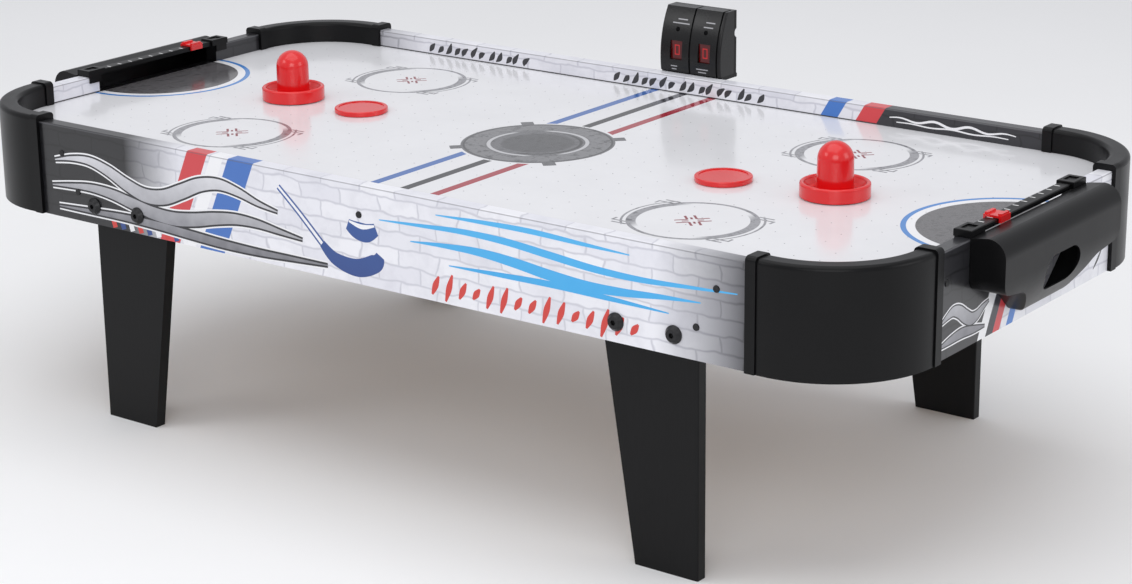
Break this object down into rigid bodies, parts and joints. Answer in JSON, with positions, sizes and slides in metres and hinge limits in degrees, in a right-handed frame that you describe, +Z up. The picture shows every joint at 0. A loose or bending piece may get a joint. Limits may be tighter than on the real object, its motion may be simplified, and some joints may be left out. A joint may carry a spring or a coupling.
{
  "type": "air hockey table",
  "caption": "Small free-standing air hockey table with rounded plastic corners, hooded goal boxes, manual and electronic scorers, blower, mallets and pucks.",
  "frame": {"origin": "on the floor under the centre of the playfield", "axes": "+X along the table towards the right goal, +Y across it towards the electronic scorer, +Z up"},
  "size_m": [1.135, 0.564, 0.3695],
  "materials": {
    "printed_board": "fibreboard wrapped in printed film, satin",
    "bare_board": "bare fibreboard, matt",
    "black_board": "fibreboard wrapped in black film, satin",
    "black_plastic": "moulded, fine texture",
    "white_sheet": "printed gloss laminate",
    "red_plastic": "moulded, polished",
    "felt": "felt",
    "black_steel": "black oxide",
    "zinc_steel": "zinc plated",
    "red_window": "dark red tinted, polished",
    "circuit_board": "solder mask",
    "motor_can": "drawn can"
  },
  "bodies": {
    "cabinet": {"front_apron": "printed_board", "back_apron": "printed_board", "left_end_panel": "printed_board", "right_end_panel": "printed_board", "bottom_panel": "bare_board", "plenum_battens": "bare_board", "leg_cleats": "bare_board", "leg_front_left": "black_board", "leg_front_right": "black_board", "leg_back_left": "black_board", "leg_back_right": "black_board", "corner_bracket_front_left": "black_plastic", "corner_bracket_front_right": "black_plastic", "corner_bracket_back_left": "black_plastic", "corner_bracket_back_right": "black_plastic", "goal_box_left": "black_plastic", "goal_box_right": "black_plastic", "score_rail_left": "black_plastic", "score_rail_right": "black_plastic", "scorer_housing": "black_plastic", "scorer_back_cover": "black_plastic", "blower_housing": "black_plastic", "blower_grille": "black_plastic", "control_plate": "black_plastic", "power_inlet": "black_plastic", "playfield": "white_sheet", "leg_bolts": "black_steel", "panel_screws": "black_steel", "goal_box_screws": "black_steel", "scorer_screws": "black_steel", "blower_screws": "black_steel", "plate_screws": "black_steel", "leg_washers": "zinc_steel", "leg_nuts": "zinc_steel", "scorer_windows": "red_window", "scorer_board": "circuit_board", "scorer_displays": "circuit_board", "blower_motor": "motor_can"},
    "slider_left": {"score_slider_left": "red_plastic"},
    "slider_right": {"score_slider_right": "red_plastic"},
    "button_left": {"scorer_button_left": "black_plastic"},
    "button_right": {"scorer_button_right": "black_plastic"},
    "impeller": {"blower_impeller": "black_plastic", "motor_shaft": "zinc_steel"},
    "rocker": {"power_switch": "black_plastic"},
    "mallet_left": {"mallet_left": "red_plastic", "mallet_pad_left": "felt"},
    "mallet_right": {"mallet_right": "red_plastic", "mallet_pad_right": "felt"},
    "puck_left": {"puck_left": "red_plastic"},
    "puck_right": {"puck_right": "red_plastic"}
  },
  "joints": [
    {"name": "slider_left_slide", "type": "slide", "parent": "cabinet", "child": "slider_left", "axis": [0, 1, 0], "range_m": [-0.129, 0.015]},
    {"name": "slider_right_slide", "type": "slide", "parent": "cabinet", "child": "slider_right", "axis": [0, 1, 0], "range_m": [-0.027, 0.117]},
    {"name": "button_left_press", "type": "slide", "parent": "cabinet", "child": "button_left", "axis": [0, 1, 0], "range_m": [0, 0.0012], "stiffness_N_per_m": 300},
    {"name": "button_right_press", "type": "slide", "parent": "cabinet", "child": "button_right", "axis": [0, 1, 0], "range_m": [0, 0.0012], "stiffness_N_per_m": 300},
    {"name": "impeller_spin", "type": "hinge", "parent": "cabinet", "child": "impeller", "pos_m": [0, 0, 0.22], "axis": [0, 0, 1], "continuous": true},
    {"name": "rocker_tilt", "type": "hinge", "parent": "cabinet", "child": "rocker", "pos_m": [-0.161, 0.2628, 0.254], "axis": [1, 0, 0], "range_deg": [0, 14]},
    {"name": "mallet_left_glide", "type": "slide", "parent": "cabinet", "child": "mallet_left", "axis": [0, 1, 0], "range_m": [-0.2215, 0.2135]},
    {"name": "mallet_right_glide", "type": "slide", "parent": "cabinet", "child": "mallet_right", "axis": [0, 1, 0], "range_m": [-0.2175, 0.2175]},
    {"name": "puck_left_glide", "type": "slide", "parent": "cabinet", "child": "puck_left", "axis": [1, 0, 0], "range_m": [-0.0363, 0.201]},
    {"name": "puck_right_glide", "type": "slide", "parent": "cabinet", "child": "puck_right", "axis": [1, 0, 0], "range_m": [-0.1978, 0.0521]}
  ]
}
